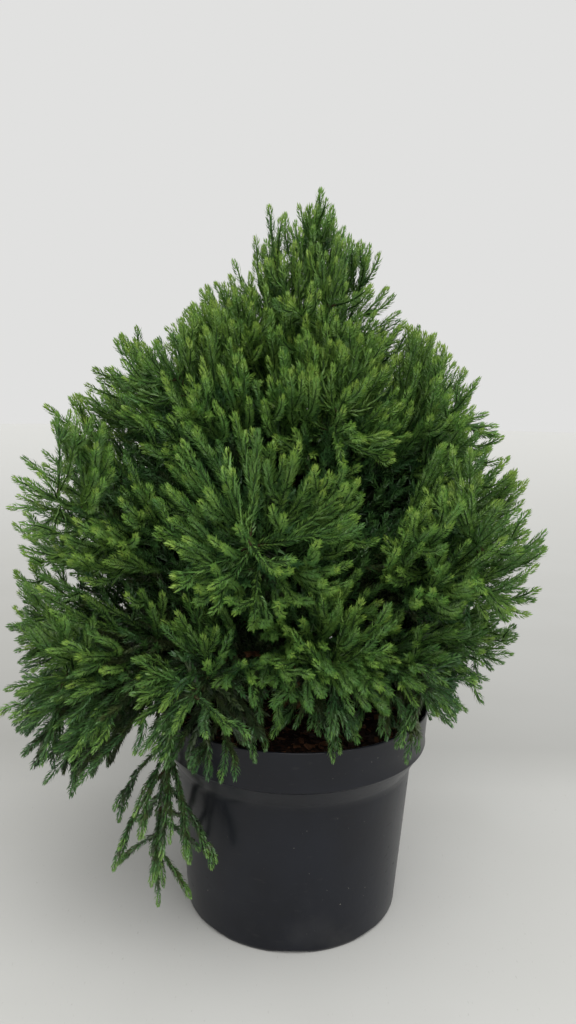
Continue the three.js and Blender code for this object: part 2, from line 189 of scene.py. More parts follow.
LEADERS = [
    dict(name="leader_1", root=1, tip=(17, 0, PLANT_HEIGHT), out=0.5, up=0, bare=0, spread=34, heart=0.5),
    dict(name="leader_2", root=0.9, tip=(-33, -4, 716), out=0.7, up=-0.06, bare=0, spread=34, heart=0.5),
]
JITTER = dict(azimuth=7, reach=0.05, height=9)
LIMB = dict(root_share=0.011, least_root=0.9, stagger=10, tip_radius=1.4, stem_points=12)
print("tiers:", ", ".join(f"{tier['name']} of {tier['count']}" for tier in TIERS))

# %% [markdown]
# ## Trunk and boughs
#
# The trunk is one slim curve with a flare at its foot and a slight bow. Each limb leaves it, rises in
# an arch and ends where its row in the table says. Its inner stretch is a bare bough, and its outer
# stretch is the stem of one mass of foliage. A limb knows its own curve, its length and how thick it
# is anywhere, so later cells only ask it.

# %% Trunk and boughs
trunk_foot = np.array([0, 0, TRUNK["foot"] - TRUNK["sunk"]])
trunk_tip = np.array([*TRUNK["lean"], TRUNK["top"]])
trunk_middle = mix(trunk_foot, trunk_tip, 0.5) + 2 * np.array(TRUNK["bow"])
trunk_curve = np.array([trunk_foot, trunk_middle, trunk_tip])


def trunk_radius(u):
    flare = TRUNK["flare"] * np.exp(-np.asarray(u) / TRUNK["flare_share"])
    return mix(TRUNK["foot_radius"], TRUNK["top_radius"], np.asarray(u)) + flare


def trunk_share(height):
    return (height - trunk_foot[2]) / (TRUNK["top"] - trunk_foot[2])


def arched(start, end, out, up):
    middle = mix(start, end, out)
    middle[2] = (start[2] + end[2]) / 2 + up * np.linalg.norm(end - start)
    return np.array([start, middle, end])


class Limb:
    """A bough, the stem that carries it on, and the size of the mass of foliage on that stem."""

    def __init__(self, name, start, tip, out, up, bare, spread, heart, fullness=1, **_):
        self.name, self.bare, self.heart, self.fullness = name, bare, heart, fullness
        self.spread = math.radians(spread)
        self.curve = arched(np.array(start, float), np.array(tip, float), out, up)
        self.length = length_of(self.curve)
        self.root_radius = LIMB["root_share"] * self.length + LIMB["least_root"]
        self.stem = stretch_of(self.curve, bare + CLEARANCE / self.length, 1)
        self.stem_length = length_of(self.stem)
        count = LIMB["stem_points"]
        self.stem_points = point_at(self.stem, (np.arange(count) + 0.5) / count)

    def radius_at(self, u):
        return mix(self.root_radius, LIMB["tip_radius"], np.asarray(u))


def lay_out_limbs():
    random, made = Seeded(7), []
    for tier in TIERS:
        for i in range(tier["count"]):
            turn = 360 * i / tier["count"]
            azimuth = math.radians(tier["azimuth"] + turn + JITTER["azimuth"] * random.around())
            reach = tier["reach"] * (1 + JITTER["reach"] * random.around())
            east, north = math.cos(azimuth), math.sin(azimuth)
            rise = tier["right_rise"] * east + tier["front_rise"] * max(0, -north)
            rise += JITTER["height"] * random.around()
            tip = (reach * east + tier["shift"], reach * north * DEPTH_SHARE, tier["height"] + rise)
            root = trunk_share(tier["root"] + LIMB["stagger"] * (i - tier["count"] / 2))
            own = {**tier, "name": f"{tier['name']}_{i + 1}"}
            made.append(Limb(**own, start=point_at(trunk_curve, root), tip=tip))
    azimuth, reach = math.radians(TRAILING["azimuth"]), TRAILING["reach"]
    tip = (reach * math.cos(azimuth), reach * math.sin(azimuth), TRAILING["height"])
    made.append(Limb(**TRAILING, start=point_at(trunk_curve, trunk_share(TRAILING["root"])), tip=tip))
    made += [Limb(**leader, start=point_at(trunk_curve, leader["root"])) for leader in LEADERS]
    return made


limbs = lay_out_limbs()
print("limbs:", len(limbs), "longest:", round(max(one.length for one in limbs)), "mm")

# %% [markdown]
# ## Room to grow
#
# Each mass keeps to its own space: a place belongs to the limb whose stem is nearest. A twig is grown
# only where it has room in that space and touches neither wood nor pot. The plant needs no other
# collision test, and neighbouring masses meet in the dark clefts that a real crown has.

# %% Room to grow
WOOD_STEP = 6


def wood_spheres():
    """Spheres strung along the trunk and the bare boughs: a middle and a radius in each row."""
    rows, strings = [], [(trunk_curve, trunk_radius, 1)]
    strings += [(one.curve, one.radius_at, one.bare) for one in limbs if one.bare > 0]
    for curve, radius_at, up_to in strings:
        us = np.linspace(0, up_to, math.ceil(length_of(curve) * up_to / WOOD_STEP) + 1)
        rows.append(np.column_stack([point_at(curve, us), radius_at(us)]))
    return np.concatenate(rows)


wood = wood_spheres()
stem_points = np.array([one.stem_points for one in limbs])
profile_z = [0, POT["body_top"], POT["collar_foot"], POT["height"]]
profile_r = [POT["base"], POT["body"], POT["collar"], POT["rim"]]


def pot_radius(z):
    return np.interp(z, profile_z, profile_r)


print("spheres strung along the wood:", len(wood))

# %% [markdown]
# ## Tests for a place
#
# Four short tests take many places at once, as an array. They ask whose space a place is in, whether
# it is in the crown's outline, and whether it is clear of the wood and of the pot. The outline is given
# by how far the crown reaches to the left and to the right at a few heights.

# %% Tests for a place
LOWEST_LEAF = 12
CROWN = dict(
    z=(180, 300, 400, 450, 500, 550, 590, 625, 640, 670, 700, 735),
    left=(318, 314, 300, 288, 250, 204, 172, 120, 80, 66, 50, 34),
    right=(200, 218, 262, 246, 194, 174, 132, 108, 88, 82, 42, 30),
)
OUTLINE_SLACK = 1.04


def room_in_space(index, places):
    """How far each place is inside the space of a limb's mass: negative if another's stem is nearer."""
    gaps = np.linalg.norm(places[:, None, None, :] - stem_points[None], axis=-1).min(axis=-1)
    own = gaps[:, index].copy()
    gaps[:, index] = np.inf
    return (gaps.min(axis=1) - own) / 2


def inside_crown(places):
    """Whether places are in the crown's outline: round from above, and wider on one side."""
    x, y, z = places[:, 0], places[:, 1], places[:, 2]
    left, right = (np.interp(z, CROWN["z"], CROWN[side]) for side in ("left", "right"))
    wide = np.where(x < 0, left, right)
    return np.hypot(x / wide, y / (0.5 * DEPTH_SHARE * (left + right))) < OUTLINE_SLACK


def clear_of_wood(places, room):
    gaps = np.linalg.norm(places[:, None, :] - wood[None, :, :3], axis=-1) - wood[None, :, 3]
    return gaps.min(axis=1) > room


def clear_of_pot(places, room):
    out, z = np.hypot(places[:, 0], places[:, 1]), places[:, 2]
    beside = (out > pot_radius(z) + room) & (z > LOWEST_LEAF + room)
    inside = (z > COMPOST["foot"] + room) & (out < pot_radius(COMPOST["edge"]) - POT["wall"] - room)
    return (z > POT["height"] + room) | beside | (~(out > pot_radius(z) + room) & inside)


print("stems' points in the crown's outline:", inside_crown(stem_points.reshape(-1, 3)).mean().round(2))

# %% [markdown]
# ## Twigs
#
# Twigs leave a mass's stem in a golden spiral, which is how a conifer's buds are really set, so no two
# lie above each other. Those at the stem's foot leave at a wide angle and those at its tip nearly
# straight on, and all of them end on one dome. A twig that finds no room is tried again closer to the
# stem and slimmer. The first twigs of each mass are the ones that the CAD model has. A few more then
# grow between them, and some of those end well inside the dome, so that its edge is ragged. The two
# spires at the top keep only the inner part of each twig and stay slim.

# %% Twigs
TWIG = dict(tries=13, last_along=0.8, narrow=9, dome_flat=0.34, bend=0.16, lift=0.07, shortest=34,
            share=0.97, angle_jitter=0.1, share_jitter=0.07, bend_jitter=0.4)
SQUEEZES, WIDTHS = (1, 0.8, 0.6, 0.4, 0.25), (1, 0.75, 0.5)
EXTRA = dict(tries=8, tries_trailing=2, width=0.2, ragged=0.22)
TESTED = np.arange(0.16, 1, 0.07)  # where along a twig its room is tested
SPRAY_STATIONS, SPRAY_RADII, SLACK = (0, 0.6, 1), (2.5, 14, 0), 2.4
TWIG_SEED, EXTRA_SEED = 100, 500
HIGHEST_TIP = PLANT_HEIGHT - 6
STEM_FOOT, SPIRE = 0.25, 0.64


def dome_reach(one, angle):
    return one.stem_length * (1 - TWIG["dome_flat"] * (angle / one.spread) ** 2)


def twig_curve(one, s, angle, phase, share, bend):
    along, side = unit(one.stem[2] - one.stem[0]), side_of(one.stem)
    lateral = side * math.cos(phase) + unit(np.cross(side, along)) * math.sin(phase)
    dome = dome_reach(one, angle) * share
    start = point_at(one.stem, s)
    end = one.stem[0] + along * dome * math.cos(angle) + lateral * dome * math.sin(angle)
    length = np.linalg.norm(end - start)
    end[2] = min(end[2] + TWIG["lift"] * length, HIGHEST_TIP)
    return np.array([start, mix(start, end, 0.5) + lateral * bend * length, end])


def fits(index, curve, width):
    if np.linalg.norm(curve[2] - curve[0]) < TWIG["shortest"]:
        return False
    if limbs[index].heart and not inside_crown(curve[2:]):
        return False
    places = point_at(curve, TESTED)
    room = np.interp(TESTED, SPRAY_STATIONS, SPRAY_RADII) * width + SLACK
    free = (room_in_space(index, places) > room) & clear_of_wood(places, room)
    return bool(np.all(free & clear_of_pot(places, room)))


print("places tested on each twig:", len(TESTED))


# %% Twigs: growing them
def grow_twigs(index, seed, tries, widths, ragged=0):
    one, random, grown = limbs[index], Seeded(seed), []
    phase = 2 * math.pi * random()
    for k in range(tries):
        along = (k + 0.5) / tries
        angle = mix(math.radians(TWIG["narrow"]), one.spread, math.sqrt(1 - along))
        angle *= 1 + TWIG["angle_jitter"] * random.around()
        share = TWIG["share"] + TWIG["share_jitter"] * random.around() - ragged * (k % 3) / 2
        bend = TWIG["bend"] * (1 + TWIG["bend_jitter"] * random.around())
        turn = phase + k * GOLDEN_ANGLE
        for squeeze, width in [(s, w * one.fullness) for s in SQUEEZES for w in widths]:
            curve = twig_curve(one, TWIG["last_along"] * along, angle * squeeze, turn, share, bend)
            if fits(index, curve, width):
                grown.append(curve)
                break
    return grown


twigs = []  # each is (index of its limb, its curve), with the stem's outer part as each limb's first
for index, one in enumerate(limbs):
    own = [stretch_of(one.stem, STEM_FOOT, 1)]
    own += grow_twigs(index, TWIG_SEED + index, TWIG["tries"], WIDTHS)
    extra_tries = EXTRA["tries"] if one.heart else EXTRA["tries_trailing"]
    own += grow_twigs(index, EXTRA_SEED + index, extra_tries, (EXTRA["width"],), EXTRA["ragged"])
    if one.name.startswith("leader"):
        own[1:] = [stretch_of(curve, 0, SPIRE) for curve in own[1:]]
    twigs += [(index, curve) for curve in own]
print("twigs:", len(twigs))

# %% [markdown]
# ## Side shoots
#
# The foxtails themselves are the twigs' outer halves and the side shoots that they bear. A side shoot
# leaves its twig at an acute angle, then bends until it runs along with it, a finger's width away, so
# each twig becomes a plume whose tips all lie near its own. High up the tips turn towards the light,
# and low down they droop under their own weight. A shoot that would stray out of its mass's space or
# past the crown's outline, or into wood or pot, isn't grown.

# %% Side shoots
SIDE = dict(spacing=20, first=0.04, last=0.92, reach=(0.6, 1.05), least=24, most=125,
            gap=(10, 28), lift=0.18)
SHOOT = dict(jitter=0.8, past_end=1.02, full_gap=80, gap_jitter=(0.7, 1.25), bend_ahead=0.28, bend_out=0.8)
DROOP = dict(z=(240, 360), lift=(-1, 1))
ROOM = dict(overlap=7, box=3, tip=6, middle=5, wood=4)


def side_shoots(parents, owners, rule, random):
    """Side shoots on each parent curve, about one for each spacing of its length."""
    shoots, whose = [], []
    for curve, owner, length, side in zip(parents, owners, length_of(parents), side_of(parents)):
        count = max(1, round(length / rule["spacing"]))
        phase = random.uniform(0, 2 * math.pi)
        for k in range(count):
            u = mix(rule["first"], rule["last"], (k + random.uniform(0, SHOOT["jitter"])) / count)
            reach = (SHOOT["past_end"] - u) * length * random.uniform(*rule["reach"])
            reach = np.clip(reach, rule["least"], rule["most"])
            along, turn = unit(slope_at(curve, u)), phase + k * GOLDEN_ANGLE
            out = side * math.cos(turn) + np.cross(side, along) * math.sin(turn)
            gap = mix(*rule["gap"], min(1, reach / SHOOT["full_gap"])) * random.uniform(*SHOOT["gap_jitter"])
            beside = u + reach / length
            end = point_at(curve, min(beside, 1)) + unit(curve[2] - curve[1]) * max(0, beside - 1) * length
            lift = rule["lift"] * reach * np.interp(end[2], DROOP["z"], DROOP["lift"])
            start = point_at(curve, u)
            bend = start + along * reach * SHOOT["bend_ahead"] + out * gap * SHOOT["bend_out"]
            shoots.append([start, bend, end + out * gap + UP * lift])
            whose.append(owner)
    return np.array(shoots), np.array(whose)


def keep_fitting(shoots, owners):
    """The shoots that have room: in their mass's space, in the CAD box, and clear of pot and wood."""
    keep = np.zeros(len(shoots), bool)
    low, high = np.array(cad_box) / MM
    for index in range(len(limbs)):
        mine = np.flatnonzero(owners == index)
        if not len(mine):
            continue
        tips, middles = shoots[mine][:, 2], point_at(shoots[mine], np.full(len(mine), 0.5))
        ok = (room_in_space(index, tips) > -ROOM["overlap"]) & inside_crown(tips)
        ok &= np.all((tips > low + ROOM["box"]) & (tips < high - ROOM["box"]), axis=1)
        ok &= clear_of_pot(tips, ROOM["tip"]) & clear_of_pot(middles, ROOM["middle"])
        keep[mine] = ok & clear_of_wood(tips, ROOM["wood"])
    return shoots[keep], owners[keep]


print("one side shoot for each", SIDE["spacing"], "mm of a twig")

# %% [markdown]
# ## Shoots in the light
#
# Every twig bears side shoots, and the long ones of these fork once more near their ends. Low down only
# half of them are kept, so that there is air between the hanging ones. The strands that trail over the
# rim have a few short forks and no plume.

# %% Shoots in the light
FORK = dict(spacing=66, first=0.35, last=0.8, reach=(0.6, 1), least=20, most=44, gap=(10, 15), lift=0.1)
STRAND = dict(spacing=46, first=0.3, last=0.9, reach=(0.6, 1), least=20, most=60, gap=(4, 9), lift=-0.1)
SPARSE = dict(z=(200, 300), kept=(0.5, 1))
TURN_UP, OUTER_TWIG = 0.14, 0.6
BELOW_SPIRE, LEAST_FORKED = 16, 50

random = np.random.default_rng(11)
twig_curves = np.array([curve for _, curve in twigs])
twig_owners = np.array([index for index, _ in twigs])
hearted = np.array([one.heart > 0 for one in limbs])
is_leader = np.array([one.name.startswith("leader") for one in limbs])
limb_tops = np.array([one.curve[2, 2] for one in limbs])
full = hearted[twig_owners]
is_stem = np.zeros(len(twigs), bool)
is_stem[np.unique(twig_owners, return_index=True)[1]] = True

turned = twig_curves.copy()
turned[:, 2, 2] += TURN_UP * length_of(twig_curves) * np.interp(turned[:, 2, 2], DROOP["z"], DROOP["lift"])
turned[:, 2, 2] = np.minimum(turned[:, 2, 2], HIGHEST_TIP)
outer_places = point_at(turned, np.full(len(turned), OUTER_TWIG))
may_turn = clear_of_pot(turned[:, 2], ROOM["tip"]) & clear_of_pot(outer_places, ROOM["middle"])
may_turn &= full & ~is_stem
twig_curves[may_turn] = turned[may_turn]

shoots, shoot_owners = keep_fitting(*side_shoots(twig_curves[full], twig_owners[full], SIDE, random))
tip_heights = shoots[:, 2, 2]
kept = (tip_heights < limb_tops[shoot_owners] - BELOW_SPIRE) | ~is_leader[shoot_owners]
kept &= random.uniform(0, 1, len(shoots)) < np.interp(tip_heights, SPARSE["z"], SPARSE["kept"])
shoots, shoot_owners = shoots[kept], shoot_owners[kept]
forked = length_of(shoots) > LEAST_FORKED
forks, fork_owners = keep_fitting(*side_shoots(shoots[forked], shoot_owners[forked], FORK, random))
strands, strand_owners = keep_fitting(*side_shoots(twig_curves[~full], twig_owners[~full], STRAND, random))
print("side shoots:", len(shoots), "forks:", len(forks), "strands:", len(strands))

# %% [markdown]
# ## Shoots in the shade
#
# Short old shoots hang on along the boughs, at the twigs' feet and up the trunk. They hide the wood,
# and without them one could look right through the crown. How deep a place lies in its mass is told by
# a share of the way from the mass's foot to its dome, and only shoots well below the dome are kept.

# %% Shoots in the shade
SHADE = dict(spacing=5, first=0.03, last=0.97, reach=(0.3, 0.6), least=36, most=100, gap=(24, 54), lift=0.12)
FEET = dict(spacing=14, first=0.02, last=0.95, reach=(0.5, 1), least=30, most=60, gap=(18, 40), lift=0.05)
INNER = dict(spacing=1.3, first=0, last=0.8, reach=(0.2, 0.6), least=46, most=140, gap=(50, 165), lift=0.1)
INNER_SIDE = dict(spacing=15, first=0.25, last=0.95, reach=(0.4, 0.7), least=30, most=62,
                  gap=(14, 28), lift=0.1)
LOWEST_SHADE, DEEPEST_OUTSIDE = 244, 0.76
BOUGH_FROM, STEM_UP_TO, TWIG_FOOT_END = 0.3, 0.6, 0.55


def nearest_limbs(places):
    """Which limb's stem is nearest to each place: the one whose space it lies in."""
    return np.linalg.norm(places[:, None, None, :] - stem_points[None], axis=-1).min(axis=-1).argmin(axis=1)


mass_feet = np.array([one.stem[0] for one in limbs])
along_stems = unit(np.array([one.stem[2] - one.stem[0] for one in limbs]))
spreads = np.array([one.spread for one in limbs])
stem_lengths = np.array([one.stem_length for one in limbs])


def depth_in_mass(places, owners, widest=1.2):
    """0 at a mass's foot, 1 on its dome."""
    out = places - mass_feet[owners]
    distance = np.linalg.norm(out, axis=1)
    cosine = (out * along_stems[owners]).sum(axis=1) / np.maximum(distance, 1e-6)
    angle = np.arccos(np.clip(cosine, -1, 1))
    flat = 1 - TWIG["dome_flat"] * np.minimum(angle / spreads[owners], widest) ** 2
    return distance / (stem_lengths[owners] * flat)


dense = [one for one in limbs if one.heart]
boughs = [stretch_of(one.curve, BOUGH_FROM * one.bare, mix(one.bare, 1, STEM_UP_TO)) for one in dense]
twig_feet = [stretch_of(curve, 0, TWIG_FOOT_END) for curve in twig_curves[full]]
inner_trunk = [stretch_of(trunk_curve, trunk_share(LOWEST_SHADE), 1)]
bearers = [(boughs, SHADE), (twig_feet, FEET), (inner_trunk, INNER)]
in_shade = [side_shoots(np.array(some), range(len(some)), rule, random)[0] for some, rule in bearers]
in_shade.append(side_shoots(in_shade[-1], range(len(in_shade[-1])), INNER_SIDE, random)[0])
shade_shoots = np.concatenate(in_shade)
shade_shoots, shade_owners = keep_fitting(shade_shoots, nearest_limbs(shade_shoots[:, 2]))
deep = depth_in_mass(shade_shoots[:, 2], shade_owners) < DEEPEST_OUTSIDE
shade_shoots, shade_owners = shade_shoots[deep], shade_owners[deep]
print("shoots in the shade:", len(shade_shoots))

# %% [markdown]
# ## From arrays to meshes
#
# A mesh needs its corners and its faces. For thousands of equal small things both are plain arrays:
# the corners of one thing after another, and one thing's faces repeated with a growing offset.
# `foreach_set` hands a whole array to Blender at once, where `from_pydata` would take minutes. Every
# piece is also hung on the root body and given its finish, and the CAD nodes that it stands for are
# hidden.

# %% From arrays to meshes
def add_mesh(name, corners, faces, smooth=True):
    """A mesh piece from corners in millimetres and triangles or quads, as arrays."""
    mesh = bpy.data.meshes.new(name)
    corners, faces = np.asarray(corners, np.float32) * MM, np.asarray(faces, np.int32)
    sides = faces.shape[1]
    mesh.vertices.add(len(corners))
    mesh.vertices.foreach_set("co", corners.ravel())
    mesh.loops.add(faces.size)
    mesh.loops.foreach_set("vertex_index", faces.ravel())
    mesh.polygons.add(len(faces))
    mesh.polygons.foreach_set("loop_start", np.arange(0, faces.size, sides, dtype=np.int32))
    mesh.polygons.foreach_set("use_smooth", np.full(len(faces), smooth))
    mesh.update(calc_edges=True)
    piece = bpy.data.objects.new(name, mesh)
    scene.collection.objects.link(piece)
    return piece


def finish_piece(piece, material, slot, *nodes):
    piece.data.materials.append(material)
    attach(piece, "root")
    if nodes:
        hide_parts(*nodes)
    return piece


def repeated(faces, count, corners_each):
    """One small thing's faces, for count such things one after another."""
    offsets = np.arange(count)[:, None, None] * corners_each
    return (np.asarray(faces)[None] + offsets).reshape(-1, len(faces[0]))


print("faces of two triangles in a row:", repeated([[0, 1, 2]], 2, 3).tolist())

# %% [markdown]
# ## Rings and tubes
#
# The pot, the compost and the limbs are rings of corners with a skin over them, closed at both ends,
# so one helper serves them all. Thousands of slim shoots are made in one go instead: a tube on each
# curve, thinner towards its pointed tip.

# %% Rings and tubes
def closed_rings(rings, first_middle, last_middle):
    """A skin over rings of corners, closed at both ends by fans round a middle corner."""
    count, sides = rings.shape[:2]
    here, last = np.arange(sides), (count - 1) * sides
    ahead = (here + 1) % sides
    faces = [np.column_stack([np.full(sides, count * sides), ahead, here]),
             np.column_stack([np.full(sides, count * sides + 1), last + here, last + ahead])]
    for start in range(0, last, sides):
        a, b = start + here, start + ahead
        faces += [np.column_stack([a, b, b + sides]), np.column_stack([a, b + sides, a + sides])]
    return np.concatenate([rings.reshape(-1, 3), [first_middle, last_middle]]), np.concatenate(faces)


def tubes(curves, foot_radii, tip_radii, rings=4, sides=3):
    """Closed tapering tubes along curves, each with a pointed tip, as corners and triangles."""
    count = len(curves)
    us = np.linspace(0, 1, rings + 1)[:-1]
    centre = point_at(curves[:, None], us[None].repeat(count, 0))
    along = unit(slope_at(curves[:, None], us[None].repeat(count, 0)))
    side = side_of(curves)[:, None, :].repeat(rings, 1)
    across = np.cross(side, along)
    foot_radii, tip_radii = (np.broadcast_to(radii, count)[:, None] for radii in (foot_radii, tip_radii))
    radius = mix(foot_radii, tip_radii, us[None])[..., None, None]
    angles = np.arange(sides) * 2 * math.pi / sides
    ring = side[:, :, None] * np.cos(angles)[:, None] + across[:, :, None] * np.sin(angles)[:, None]
    body = (centre[:, :, None] + ring * radius).reshape(count, rings * sides, 3)
    corners = np.concatenate([body, curves[:, 2:3]], axis=1)
    faces = []
    for r in range(rings - 1):
        for k in range(sides):
            a, b = r * sides + k, r * sides + (k + 1) % sides
            faces += [[a, b, b + sides], [a, b + sides, a + sides]]
    last, tip = (rings - 1) * sides, rings * sides
    faces += [[last + k, last + (k + 1) % sides, tip] for k in range(sides)]
    faces += [[0, k + 1, k] for k in range(1, sides - 1)]
    return corners.reshape(-1, 3), repeated(faces, count, tip + 1)


print("one tube has", len(tubes(twig_curves[:1], 1, 1)[1]), "triangles")

# %% [markdown]
# ## Needles
#
# A cryptomeria's needle is an awl: broad low down, 5 to 9 mm long, and curved so that its tip turns
# back towards the shoot. They stand in five ranks, because each comes two fifths of a turn after the
# last. Two triangles hold that shape: a foot and two corners at the broadest place, where the needle
# bends, and from there a tip. Each is rolled a little about its own length, as real ones are, so
# that some of them show their flat to any side. Towards a shoot's tip the needles close up and get
# shorter, which makes its blunt bud, and on the hanging strands all of them are shorter.

# %% Needles: how many, and where
NEEDLE = dict(count=590000, least=8, length=7.3, width=1.6, foot_angle=50, tip_angle=27, turn=142.5,
              roll=0.7, broadest=0.42, on_strands=0.8, phase=1.7)
JITTERS = dict(turn=0.16, length=(0.85, 1.15), angle=6)
BUD = dict(length=6, shorter=0.6, foot_angle=-18, tip_angle=-30)
FULLNESS = dict(depth=(0.3, 0.9), share=(0.6, 1.1), in_shade=0.42)
CLOTHED, CLOSER_AT_TIP = 0.97, 1.15
SKIN, STEM_SKIN, STRAND_STEM = 0.5, 0.8, 0.3

grown = [twig_curves, shoots, forks, strands, shade_shoots]
needle_curves = np.concatenate(grown)
needle_owners = np.concatenate([twig_owners, shoot_owners, fork_owners, strand_owners, shade_owners])
shaded = np.arange(len(needle_curves)) >= len(needle_curves) - len(shade_shoots)

skin = np.full(len(needle_curves), SKIN)
stem_radii = np.array([one.radius_at(one.bare) * (1 if one.heart else STRAND_STEM) for one in limbs])
skin[np.flatnonzero(is_stem)] = STEM_SKIN * stem_radii

outer = depth_in_mass(needle_curves[:, 2], needle_owners)
curve_lengths = length_of(needle_curves)
clothed = CLOTHED * curve_lengths
fullness = np.interp(outer, FULLNESS["depth"], FULLNESS["share"])
fullness[shaded] = FULLNESS["in_shade"]
per_curve = np.maximum(NEEDLE["least"], NEEDLE["count"] * clothed * fullness / (clothed * fullness).sum())
per_curve = per_curve.astype(int)

which = np.repeat(np.arange(len(needle_curves)), per_curve)
order_in_curve = np.arange(len(which)) - np.repeat(np.cumsum(per_curve) - per_curve, per_curve)
left = 1 - (order_in_curve + 0.5) / per_curve[which]
from_tip = left**CLOSER_AT_TIP * clothed[which]
print("needles:", len(which), "on", round(clothed.sum() / 1000), "m of shoots")


# %% Needles: their corners
def needle_corners(which, order, from_tip):
    """Each needle's foot, its two broad corners and its tip."""
    curves, count, jitter = needle_curves[which], len(which), JITTERS["angle"]
    u = 1 - from_tip / curve_lengths[which]
    at, along, side = point_at(curves, u), unit(slope_at(curves, u)), side_of(curves)
    wander = random.uniform(-JITTERS["turn"], JITTERS["turn"], count)
    turn = (order * math.radians(NEEDLE["turn"]) + wander + which * NEEDLE["phase"])[:, None]
    out = side * np.cos(turn) + np.cross(side, along) * np.sin(turn)
    closing = np.interp(from_tip, [0, BUD["length"]], [1, 0])[:, None]
    length = NEEDLE["length"] * random.uniform(*JITTERS["length"], (count, 1))
    length *= mix(1, BUD["shorter"], closing)
    length *= np.where(hearted[needle_owners[which]], 1, NEEDLE["on_strands"])[:, None]
    angles = []
    for end in ("foot_angle", "tip_angle"):
        angle = NEEDLE[end] + BUD[end] * closing + random.uniform(-jitter, jitter, (count, 1))
        angles.append(np.radians(angle))
    rise, turned_in = (along * np.cos(angle) + out * np.sin(angle) for angle in angles)
    foot = at + out * mix(skin[which], SKIN, u)[:, None]
    middle = foot + rise * length * NEEDLE["broadest"]
    tip = middle + turned_in * length * (1 - NEEDLE["broadest"])
    roll = random.uniform(-NEEDLE["roll"], NEEDLE["roll"], (count, 1))
    across = np.cross(out, along)
    broad = (across * np.cos(roll) + np.cross(rise, across) * np.sin(roll)) * NEEDLE["width"] / 2
    return np.stack([foot, middle + broad, middle - broad, tip], axis=1)


all_corners = needle_corners(which, order_in_curve, from_tip)
span = all_corners.reshape(-1, 3)
print("needles reach", span.min(axis=0).round(), "to", span.max(axis=0).round())

# %% [markdown]
# ## Dealing out the colours
#
# New needles are yellow-green, those of the year are mid green, and those deeper in are darker and
# bluer. Short shoots in the shade keep a soft green, and the oldest needles turn olive and bronze, as
# do many on the hanging strands. A gradient along each shoot could be painted as a texture, but a
# texture on six hundred thousand needles is hard to keep in place. So each needle is simply dealt to
# one of six plain finishes by its age, by how deep it sits in its mass and by painted light and shade:
# needles low on the plant or on the underside of a mass are dealt darker classes and fewer bright buds,
# as painted shade, and those near the top lighter ones, as painted light. That low shoots bear fewer
# buds is partly real as well, since they grow less.

# %% Dealing out the colours
CLASSES = ["bud", "young", "leaf", "shade", "old", "inner"]
# Painted light and shade: low on the plant and on a mass's underside a needle's score is lowered, and near
# the top it is raised, which deals the needle a darker or a lighter class.
HEIGHT_LIGHT = dict(z=(200, 280, 370, 580, 660), light=(-0.45, -0.22, 0.06, 0, 0.4))
FACING_LIGHT = dict(up=(-0.75, 0.1), light=(-0.25, 0))
WITHOUT_BUD = dict(z=(250, 430), share=(0.98, 0.1))
MOODS, SPECKLE, BRONZED = 0.1, 0.04, 0.5
BUD_END, YOUNG_END = (5.5, 1.5), (15, 5)  # millimetres from the tip, and how much a shoot's mood moves it
STRAND_YOUNG_END, STRAND_GREEN_END = 9, 16
LIT_ENOUGH, OLD_BELOW, OLD_IN_SHADE_BELOW, SHADE_BELOW = 0.5, 0.24, 0.42, 0.52

mood = random.normal(0, 1, len(needle_curves))
depth = depth_in_mass(all_corners[:, 0], needle_owners[which])
facing = unit(needle_curves[:, 2] - mass_feet[needle_owners])[:, 2]  # 1 at the top of its mass
tip_heights = needle_curves[:, 2, 2]
high = np.interp(tip_heights, HEIGHT_LIGHT["z"], HEIGHT_LIGHT["light"])
# Fewer buds low down: partly real, and partly painted shade.
bare_tips = np.interp(tip_heights, WITHOUT_BUD["z"], WITHOUT_BUD["share"])
budding = random.uniform(0, 1, len(needle_curves)) > bare_tips
lit = np.interp(facing, FACING_LIGHT["up"], FACING_LIGHT["light"]) + high + MOODS * mood
score = depth + lit[which] + random.normal(0, SPECKLE, len(which))
trails = ~hearted[needle_owners[which]]
bronzed = random.uniform(0, 1, len(which)) < BRONZED
in_the_shade = shaded[which]
# Bright buds only where the painted light is high enough.
outside = (budding & (outer + lit > LIT_ENOUGH))[which] & ~in_the_shade & ~trails
bud_end, young_end = (at + more * mood[which] for at, more in (BUD_END, YOUNG_END))
old_inside = (score < OLD_BELOW) | (in_the_shade & (score < OLD_IN_SHADE_BELOW))
dealt = {
    "bud": outside & (from_tip < bud_end),
    "young": outside & (from_tip < young_end),
    "old": np.where(trails, bronzed & (from_tip > STRAND_GREEN_END), old_inside),
    "inner": in_the_shade,
    "shade": np.where(trails, from_tip > STRAND_YOUNG_END, score < SHADE_BELOW),
}
kind = np.select(list(dealt.values()), [CLASSES.index(name) for name in dealt], CLASSES.index("leaf"))
print({name: int((kind == k).sum()) for k, name in enumerate(CLASSES)})

# %% [markdown]
# ## Finishes as expressions
#
# A material is a small graph of nodes. Written as node calls, a formula such as a + b * noise takes
# six lines and hides its meaning, so one class wraps an output and turns Python's operators into Math
# nodes, and another adds any other node in one call.

